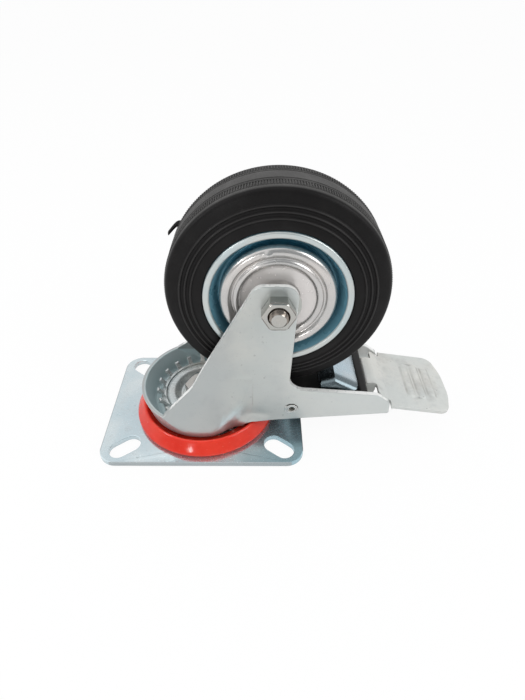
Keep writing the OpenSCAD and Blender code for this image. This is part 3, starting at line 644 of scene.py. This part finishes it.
# %% Tyre
SIDE, SIDE_FROM, SIDE_LEAN = 15.2, 34.0, 0.17
SEAT = [(25.4, 6.0), (27.95, 6.0), (31.15, 14.25), (32.9, 14.3), (33.3, 15.0)]
RIDGE_SHAPE = ((-0.75, 0.0), (-0.5, 0.38), (-0.2, 0.58), (0.15, 0.6), (0.5, 0.4), (0.75, 0.0))
SHOULDER_ROUND = [(47.6, 12.82), (48.25, 12.55), (48.8, 12.15), (49.2, 11.6), (49.45, 10.95),
                  (49.58, 10.3), (49.6, 9.95)]
GROOVED_TREAD = [(49.45, 9.75), (49.45, 5.75), (49.1, 5.6), (49.1, 5.2), (49.88, 5.05), (49.9, 4.5),
                 (49.1, 4.35), (49.1, 3.55), (49.95, 3.4), (49.99, 2.6)]


def half_width(radius):
    """Half the width of the tyre where its side leans in towards the tread."""
    return SIDE - SIDE_LEAN * max(radius - SIDE_FROM, 0.0)


half_tyre = SEAT + [(radius, half_width(radius)) for radius in (SIDE_FROM, 35.5, 36.9)]
for middle in RIDGES:
    half_tyre += [(middle + out, half_width(middle + out) + high) for out, high in RIDGE_SHAPE]
half_tyre += [(radius, half_width(radius)) for radius in (44.1, 45.5, 46.8)]
half_tyre += SHOULDER_ROUND + GROOVED_TREAD
tyre = turned("tyre_moulded", half_tyre + [(radius, -along) for radius, along in reversed(half_tyre)])
dress(tyre, tyre_rubber, "wheel", "tyre", crease=28.0)

# %% [markdown]
# ## The tread ribs
# Two bands of fine ribs lie across the tread. The lathe can't make them, because its outline is the same
# at every angle. They could be bump in the finish, but real ribs show along the edge of the tyre. So one
# rib is a cube with a narrowed top, copied to the other band, and both are spun round the axle as copies.

# %% Tread ribs
RIB, RIB_TOP = Vector((0.72, 3.9, 0.8)), (0.45, 0.92, 1.0)
RIB_Y, RIB_R, RIB_COUNT = 7.7, 49.53, 276


def pick_faces(piece, test):
    """Selects the faces whose normal passes a test, in edit mode."""
    bpy.ops.mesh.select_mode(type="FACE")
    bpy.ops.mesh.select_all(action="DESELECT")
    mesh = bmesh.from_edit_mesh(piece.data)
    for face in mesh.faces:
        if test(face.normal):
            face.select = True
    mesh.select_flush_mode()
    bmesh.update_edit_mesh(piece.data)


rib_middle = AXLE + Vector((0.0, -RIB_Y, RIB_R)) * MM
bpy.ops.object.select_all(action="DESELECT")
bpy.ops.mesh.primitive_cube_add(size=1.0, location=rib_middle, scale=RIB * MM)
ribs = bpy.context.object
ribs.name = "tread_ribs"
only(ribs)
bpy.ops.object.transform_apply(location=True, scale=True)
enter(ribs)
pick_faces(ribs, lambda normal: normal.z > 0.9)
bpy.ops.transform.resize(value=RIB_TOP, center_override=rib_middle)
bpy.ops.mesh.select_all(action="SELECT")
bpy.ops.mesh.duplicate_move(TRANSFORM_OT_translate={"value": (0.0, 2.0 * RIB_Y * MM, 0.0)})
bpy.ops.mesh.select_all(action="SELECT")
sweep = 2.0 * math.pi * (RIB_COUNT - 1) / RIB_COUNT
bpy.ops.mesh.spin(steps=RIB_COUNT - 1, dupli=True, angle=sweep, center=AXLE, axis=ALONG_Y)
leave()
dress(ribs, tyre_rubber, "wheel")

# %% [markdown]
# ## The mould whisker
# Where rubber was forced into a vent of the mould, a thin whisker stays on the tyre. It could be a curve
# with a round bevel. Here a small disc is extruded from point to point and narrowed on the way, and a
# Subdivision Surface rounds it, because the rubber has no edges there.

# %% Mould whisker
WHISKER = [(-3.4, 108.4, 1.3), (-5.2, 108.9, 1.3), (-6.9, 107.9, 1.25), (-8.8, 105.8, 1.2),
           (-10.4, 104.0, 1.1), (-10.7, 103.7, 1.0)]
WHISKER_Y = 8.5

x, z, thick = WHISKER[0]
bpy.ops.object.select_all(action="DESELECT")
bpy.ops.mesh.primitive_circle_add(vertices=10, radius=thick * MM, fill_type="NGON",
                                  location=Vector((x, WHISKER_Y, z)) * MM,
                                  rotation=(0.0, math.radians(-90.0), 0.0))
whisker = bpy.context.object
whisker.name = "mould_whisker"
only(whisker)
bpy.ops.object.transform_apply(location=True, rotation=True)
enter(whisker)
bpy.ops.mesh.select_mode(type="FACE")
for (x, z, thick), (next_x, next_z, next_thick) in zip(WHISKER, WHISKER[1:]):
    stride = Vector((next_x - x, 0.0, next_z - z)) * MM
    bpy.ops.mesh.extrude_region_move(TRANSFORM_OT_translate={"value": stride})
    size = next_thick / thick
    end = Vector((next_x, WHISKER_Y, next_z)) * MM
    bpy.ops.transform.resize(value=(size, size, size), center_override=end)
weld()
leave()
rounder = whisker.modifiers.new("rounder", "SUBSURF")
rounder.levels = rounder.render_levels = 2
bpy.ops.object.modifier_apply(modifier="rounder")
dress(whisker, tyre_rubber, "wheel", crease=60.0)

# %% [markdown]
# ## The hub covers
# Each side of the wheel has a pressed cover of bright sheet: a broad rolled edge, a groove, a rounded
# ring and a shallow dish. Pressed sheet has no sharp steps, so the outline needs many points where it
# bends. One cover is turned on the lathe and the other is its mirrored copy. A small pressed dimple is
# pushed out of the rolled edge of the front cover by moving the few points around it.

# %% Hub covers
COVER = [(7.1, 13.05), (9.3, 13.05), (9.8, 13.25), (10.3, 13.05), (15.6, 13.0), (16.1, 13.05),
         (16.5, 13.22), (16.85, 13.5), (17.15, 13.8), (17.5, 14.08), (17.9, 14.28), (18.3, 14.38),
         (18.7, 14.4), (19.05, 14.34), (19.4, 14.15), (19.75, 13.8), (20.05, 13.55), (20.35, 13.5),
         (20.7, 13.75), (21.1, 14.2), (21.6, 14.62), (22.1, 14.9), (22.7, 15.06), (23.3, 15.04),
         (23.9, 14.92), (24.5, 14.66), (25.0, 14.3), (25.4, 13.85), (25.7, 13.25), (25.83, 12.5),
         (25.85, 11.7), (25.85, 7.4), (24.95, 7.4), (24.95, 11.2), (24.5, 12.6), (23.8, 13.6),
         (22.9, 14.15), (22.0, 13.9), (21.3, 13.2), (20.35, 12.6), (19.4, 13.0), (18.5, 13.4),
         (17.6, 13.15), (16.9, 12.75), (16.2, 12.5), (7.1, 12.5)]
DIMPLE = Vector((33.4, -15.0, 105.7)) * MM
DIMPLE_R, DIMPLE_TOP_R, DIMPLE_HIGH, DIMPLE_SKIN = 2.0, 0.7, 0.6, -13.0


def ramp(value, low, high):
    """0 at low, 1 at high, smooth between them."""
    share = min(max((value - low) / (high - low), 0.0), 1.0)
    return share * share * (3.0 - 2.0 * share)


cover = turned("hub_cover_front", [(radius, -along) for radius, along in COVER])
rear_cover = bpy.data.objects.new("hub_cover_rear", cover.data.copy())
scene.collection.objects.link(rear_cover)
enter(rear_cover)
bpy.ops.transform.resize(value=(1.0, -1.0, 1.0), center_override=(0.0, 0.0, 0.0))
weld()
leave()
for vertex in cover.data.vertices:
    far = math.hypot(vertex.co.x - DIMPLE.x, vertex.co.z - DIMPLE.z) / MM
    if vertex.co.y < DIMPLE_SKIN * MM:
        vertex.co.y -= DIMPLE_HIGH * MM * ramp(far, DIMPLE_R, DIMPLE_TOP_R)
dress(cover, disc_bright, "wheel", "hub_disc_front", crease=50.0)
dress(rear_cover, disc_bright, "wheel", "hub_disc_rear", crease=50.0)

# %% [markdown]
# ## The dust ring
# A soft red ring closes the gap under the fork: an undercut edge close to the plate, an outer face that
# bows a little, a round crest, and an inner slope that leads under the fork. It is the same all the way
# round, so it is turned as well, with the bow in its outline, because a bowed face catches a narrow glint.

# %% Dust ring
RING = [(27.4, 6.62), (29.3, 6.75), (31.2, 4.75), (31.7, 4.45), (32.5, 8.6), (33.2, 9.3), (35.5, 3.7),
        (36.0, 3.3), (36.5, 3.4), (37.1, 4.1), (37.6, 4.7), (37.8, 5.15), (37.78, 5.5), (37.55, 6.0),
        (36.95, 7.0), (36.2, 8.15), (35.4, 9.3), (34.6, 10.4), (34.1, 11.1), (33.7, 11.6), (33.2, 11.8),
        (32.75, 11.65), (32.4, 11.2), (31.7, 10.2), (30.7, 9.0), (29.7, 8.0), (28.6, 7.45), (27.4, 7.3)]

ring = turned("dust_ring_moulded", RING, 240, SWIVEL, ALONG_Z)
dress(ring, ring_red, "plate", "dust_ring", crease=50.0)

# %% [markdown]
# ## The pressed fork
# The real fork is one pressed sheet, so the round cup flows into the flat legs in a soft hollow, and the
# low edge of each arm flares out a little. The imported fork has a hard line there. Smoothing the whole
# mesh would melt its edges, and a bevel that wide tears on such a line. So the copy is first cut into a
# fine grid, and then each point slides sideways by the difference between a soft and a hard meeting of
# the two surfaces. The sheet keeps its thickness, because both its faces slide alike.

# %% A copy with broken edges
FLAT = 0.4


def copy_of(node, name):
    """A new object with a merged copy of a node's mesh, flat faces dissolved, left in edit mode."""
    piece = bpy.data.objects.new(name, nodes[node].data.copy())
    scene.collection.objects.link(piece)
    enter(piece)
    bpy.ops.mesh.customdata_custom_splitnormals_clear()
    bpy.ops.mesh.remove_doubles(threshold=WELD)
    bpy.ops.mesh.dissolve_limited(angle_limit=math.radians(FLAT))
    bpy.ops.mesh.quads_convert_to_tris(quad_method="BEAUTY", ngon_method="BEAUTY")
    return piece


def break_edges(width, angle=35.0, spare=()):
    """Rounds every edge sharper than an angle, except near some lines along y, in edit mode."""
    bpy.ops.mesh.select_mode(type="EDGE")
    bpy.ops.mesh.select_all(action="DESELECT")
    bpy.ops.mesh.edges_select_sharp(sharpness=math.radians(angle))
    mesh = bmesh.from_edit_mesh(bpy.context.object.data)
    for edge in mesh.edges:
        middle = (edge.verts[0].co + edge.verts[1].co) / 2.0
        if any(math.hypot(middle.x - at.x, middle.z - at.z) < reach for at, reach in spare):
            edge.select = False
    mesh.select_flush_mode()
    bmesh.update_edit_mesh(bpy.context.object.data)
    bpy.ops.mesh.bevel(offset=width * MM, segments=2, profile=0.5, clamp_overlap=False)


print("faces within", FLAT, "degrees count as flat")

# %% Where cup and leg meet
CUP_FLOOR, CUP_FOOT, CUP_RIM, CUP_TALL = 8.3, 29.8, 33.5, 15.5
CUP_BEND, CUP_HALF, LEG_OUT, SIDE_TALL = 5.3, 33.0, 20.5, 35.0
HOLLOW, SHOULDER, WAIST, CUP_BACK = 5.0, 3.0, (27.0, 5.0), (-16.0, -6.0)
FLARE, LIFT = 1.7, 1.2
CURL_START, CURL_END, CURL_TOP = (15.0, 22.0), (40.0, 27.0), (19.0, 11.0)


def soft_max(a, b, reach):
    """The larger of two numbers, with a round meeting where they are close."""
    near = max(reach - abs(a - b), 0.0) / reach
    return max(a, b) + near * near * reach / 4.0


def cup_radius(z):
    """Outer radius of the round cup at a height."""
    slope = (CUP_RIM - CUP_FOOT) / CUP_TALL
    lean = math.atan(slope)
    bend_z = CUP_FLOOR + CUP_BEND
    bend_r = CUP_FOOT + slope * CUP_BEND - CUP_BEND / math.cos(lean)
    if z < bend_z - CUP_BEND * math.sin(lean):
        return bend_r + math.sqrt(max(CUP_BEND ** 2 - (z - bend_z) ** 2, 0.0))
    return min(CUP_FOOT + slope * (z - CUP_FLOOR), CUP_RIM)


def slide(x, z):
    """How far the sheet moves out at a place of the side view."""
    round_y = math.sqrt(max(cup_radius(z) ** 2 - x * x, 0.0))
    flat_y = CUP_HALF - (CUP_HALF - LEG_OUT) / SIDE_TALL * (z - CUP_FLOOR)
    hard = max(LEG_OUT, min(round_y, flat_y))
    soft = soft_max(LEG_OUT, -soft_max(-round_y, -flat_y, SHOULDER), HOLLOW)
    soft = LEG_OUT + (soft - LEG_OUT) * ramp(x, *WAIST)
    return (soft - hard) * ramp(x, *CUP_BACK)


def curl(x, z):
    """How much of the curl of the arm's low edge a place has."""
    return ramp(x, *CURL_START) * ramp(x, *CURL_END) * ramp(z, *CURL_TOP)


print("cup radius at its rim:", round(cup_radius(CUP_FLOOR + CUP_TALL), 2), "mm")

# %% Fork
PIN = Vector((46.0, 0.0, 21.9)) * MM
AXLE_HOLE, PIN_HOLE = 6.0 * MM, 5.0 * MM
GRID_X = [-16.0 + i for i in range(63)]
GRID_Z = [9.5 + 1.2 * i for i in range(44)]
SIDE_SHEET, FORK_EDGE = (14.0, 17.9), 0.3

fork = copy_of("fork", "fork_pressed")
break_edges(FORK_EDGE, spare=[(AXLE, AXLE_HOLE), (PIN, PIN_HOLE)])
bpy.ops.mesh.select_all(action="SELECT")
bpy.ops.mesh.quads_convert_to_tris()
for level in GRID_X:
    bpy.ops.mesh.select_all(action="SELECT")
    bpy.ops.mesh.bisect(plane_co=(level * MM, 0.0, 0.0), plane_no=(1.0, 0.0, 0.0))
for level in GRID_Z:
    bpy.ops.mesh.select_all(action="SELECT")
    bpy.ops.mesh.bisect(plane_co=(0.0, 0.0, level * MM), plane_no=(0.0, 0.0, 1.0))
leave()
for vertex in fork.data.vertices:
    x, y, z = vertex.co / MM
    share = ramp(abs(y), *SIDE_SHEET) * MM
    vertex.co.y += math.copysign(share, y) * (slide(x, z) + FLARE * curl(x, z))
    vertex.co.z += share * LIFT * curl(x, z)
dress(fork, fork_zinc, "fork", "fork", crease=20.0)

# %% [markdown]
# ## Broken edges
# No sheared or moulded edge is perfectly sharp: a thin rounding catches the light and draws a fine bright
# line round each part. A Bevel modifier would do this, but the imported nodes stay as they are. So these
# parts get a copy that takes their place, with every sharp edge bevelled by a few tenths of a millimetre.
# The lever is folded from sheet, so the long folds of its copy are rounded first, and much more.

# %% Folds of the lever
FOLD, FOLD_LOW, ON_SIDE = 4.5, 24.0, 0.05


def round_folds(piece):
    """Rounds the long folds between the top of the lever and its two sides, in edit mode."""
    half = max(vertex.co.y for vertex in piece.data.vertices)
    bpy.ops.mesh.select_mode(type="EDGE")
    bpy.ops.mesh.select_all(action="DESELECT")
    mesh = bmesh.from_edit_mesh(piece.data)
    for edge in mesh.edges:
        outer = all(abs(abs(vertex.co.y) - half) < ON_SIDE * MM for vertex in edge.verts)
        high = all(vertex.co.z > FOLD_LOW * MM for vertex in edge.verts)
        beside = any(abs(face.normal.y) > 0.99 for face in edge.link_faces)
        above = any(abs(face.normal.y) < 0.1 and face.normal.z > 0.2 for face in edge.link_faces)
        edge.select = outer and high and beside and above
    bmesh.update_edit_mesh(piece.data)
    print("lever folds:", sum(edge.select for edge in mesh.edges))
    bpy.ops.mesh.bevel(offset=FOLD * MM, segments=6, profile=0.5, clamp_overlap=False)


print("folds are rounded by", FOLD, "mm")

# %% Parts with broken edges
EDGES = [("top_plate", "plate", plate_zinc, 0.35), ("brake_pedal", "brake", pedal_zinc, 0.3),
         ("brake_lever", "brake", lever_zinc, 0.25), ("brake_leaf", "brake", leaf_black, 0.25),
         ("lock_crown", "plate", head_zinc, 0.15), ("axle_nut", "fork", fastener_zinc, 0.12),
         ("kingpin_nut", "plate", fastener_zinc, 0.15)]

for node, body, finish, width in EDGES:
    piece = copy_of(node, node + "_eased")
    if node == "brake_lever":
        round_folds(piece)
    break_edges(width)
    leave()
    dress(piece, finish, body, node, crease=20.0)

# %% [markdown]
# ## The race cap
# In the cup of the fork a pressed cap keeps the lower balls in their race: a broad rounded ring with a
# bowl in its middle, where the kingpin nut sits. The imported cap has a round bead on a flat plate. The
# sheet of the real one flows, so this one is turned from an outline with more points, round the swivel.

# %% Race cap
CAP = [(6.1, 14.38), (11.4, 14.38), (11.9, 13.9), (12.6, 13.45), (13.4, 13.5), (14.2, 14.05),
       (14.9, 14.85), (15.5, 15.55), (16.2, 16.1), (17.0, 16.42), (17.9, 16.52), (18.8, 16.48),
       (19.6, 16.25), (20.3, 15.85), (20.8, 15.3), (21.05, 14.8), (21.15, 14.4), (23.88, 14.4),
       (23.88, 12.7), (19.93, 12.7), (19.6, 13.55), (18.9, 14.28), (17.5, 14.71), (16.1, 14.28),
       (15.4, 13.55), (15.07, 12.7), (6.1, 12.7)]

cap = turned("race_cap_pressed", CAP, 180, SWIVEL, ALONG_Z)
dress(cap, head_zinc, "plate", "lower_race_cap", crease=50.0)

# %% [markdown]
# ## The rolled pin
# The brake turns on a spring pin: a strip of steel rolled up a little more than twice, so its end shows a
# coil with a step where the strip starts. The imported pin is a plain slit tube. Here one point is extruded
# along the coil, the line is extruded along the pin, and a Solidify modifier makes it a strip.

# %% Rolled pin
PIN_HALF, STRIP, PIN_EDGE = 20.8, 0.72, 0.12
COIL_FROM, COIL_TURNS, COIL_OUT, COIL_GAP, COIL_STEPS = 138.0, 2.2, 3.12, 0.8, 110
COIL_EASE = (0.45, 1.0)


def coil(step):
    """A place on the coil at the near end of the pin."""
    turns = COIL_TURNS * step / COIL_STEPS
    angle = math.radians(COIL_FROM) + turns * 2.0 * math.pi
    radius = COIL_OUT - COIL_GAP * (math.floor(turns) + ramp(turns % 1.0, *COIL_EASE))
    return PIN + Vector((radius * math.cos(angle), -PIN_HALF, radius * math.sin(angle))) * MM


pin = start_point("pin_rolled", coil(0))
for step in range(COIL_STEPS):
    bpy.ops.mesh.extrude_vertices_move(TRANSFORM_OT_translate={"value": coil(step + 1) - coil(step)})
bpy.ops.mesh.select_all(action="SELECT")
bpy.ops.mesh.extrude_region_move(TRANSFORM_OT_translate={"value": (0.0, 2.0 * PIN_HALF * MM, 0.0)})
weld()
leave()
strip = pin.modifiers.new("strip", "SOLIDIFY")
strip.thickness = STRIP * MM
strip.offset = 0.0
bpy.ops.object.modifier_apply(modifier="strip")
enter(pin)
break_edges(PIN_EDGE)
leave()
dress(pin, pin_steel, "fork", "pivot_pin", crease=30.0)

# %% [markdown]
# ## The bolt end
# A bolt shows its thread where it comes through the nut. A thread is one tooth shape that climbs as it
# turns, which is what the Screw modifier makes from a short line. The helix is cut to length by a turned
# blank with a chamfer, with a Boolean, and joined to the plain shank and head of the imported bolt.

# %% Thread
THREAD_PITCH, CREST, ROOT = 1.25, 4.0, 3.35
THREAD_FROM, THREAD_TO, THREAD_TURNS = -25.0, -29.2, 5
THREAD_PHASE = 0.37
TOOTH = ((0.10, 0.0), (0.43, CREST - ROOT), (0.22, 0.0), (0.50, ROOT - CREST))
CUT_FINE = 0.0001 * MM

lead_in = THREAD_FROM + THREAD_PITCH + THREAD_PHASE
thread = start_point("thread", AXLE + Vector((0.0, lead_in, ROOT)) * MM)
for climb, rise in TOOTH:
    bpy.ops.mesh.extrude_vertices_move(TRANSFORM_OT_translate={"value": (0.0, -climb * MM, rise * MM)})
leave()
scene.cursor.location = AXLE
bpy.ops.object.origin_set(type="ORIGIN_CURSOR")
helix = thread.modifiers.new("helix", "SCREW")
helix.axis = "Y"
helix.screw_offset = -THREAD_PITCH * MM
helix.iterations = THREAD_TURNS
helix.steps = helix.render_steps = 48
bpy.ops.object.modifier_apply(modifier="helix")
bpy.ops.object.transform_apply(location=True)
enter(thread)
weld()
for level, outwards in ((THREAD_FROM, 1.0), (THREAD_TO, -1.0)):
    bpy.ops.mesh.select_all(action="SELECT")
    bpy.ops.mesh.bisect(plane_co=(0.0, level * MM, 0.0), plane_no=(0.0, outwards, 0.0), use_fill=True,
                        clear_outer=True, threshold=CUT_FINE)
weld()
leave()
print("thread faces:", len(thread.data.polygons))

# %% Threaded bolt
BLANK_CORE, BLANK_OUT, CHAMFER_R = 0.02, CREST + 0.2, 3.1
BLANK_FROM, CHAMFER_FROM, BLANK_TO = THREAD_FROM + 1.0, THREAD_TO + 1.1, THREAD_TO + 0.05

blank = turned("bolt_blank", [(BLANK_CORE, BLANK_FROM), (BLANK_OUT, BLANK_FROM), (BLANK_OUT, CHAMFER_FROM),
                              (CHAMFER_R, BLANK_TO), (BLANK_CORE, BLANK_TO)], 64)
only(thread)
trim = thread.modifiers.new("trim", "BOOLEAN")
trim.operation = "INTERSECT"
trim.object = blank
bpy.ops.object.modifier_apply(modifier="trim")
bpy.data.objects.remove(blank)
bolt = copy_of("axle_bolt", "axle_bolt_threaded")
bpy.ops.mesh.select_all(action="SELECT")
bpy.ops.mesh.bisect(plane_co=(0.0, THREAD_FROM * MM, 0.0), plane_no=(0.0, -1.0, 0.0), use_fill=True,
                    clear_outer=True)
leave()
only(bolt)
thread.select_set(True)
bpy.ops.object.join()
dress(bolt, fastener_zinc, "fork", "axle_bolt", crease=30.0)
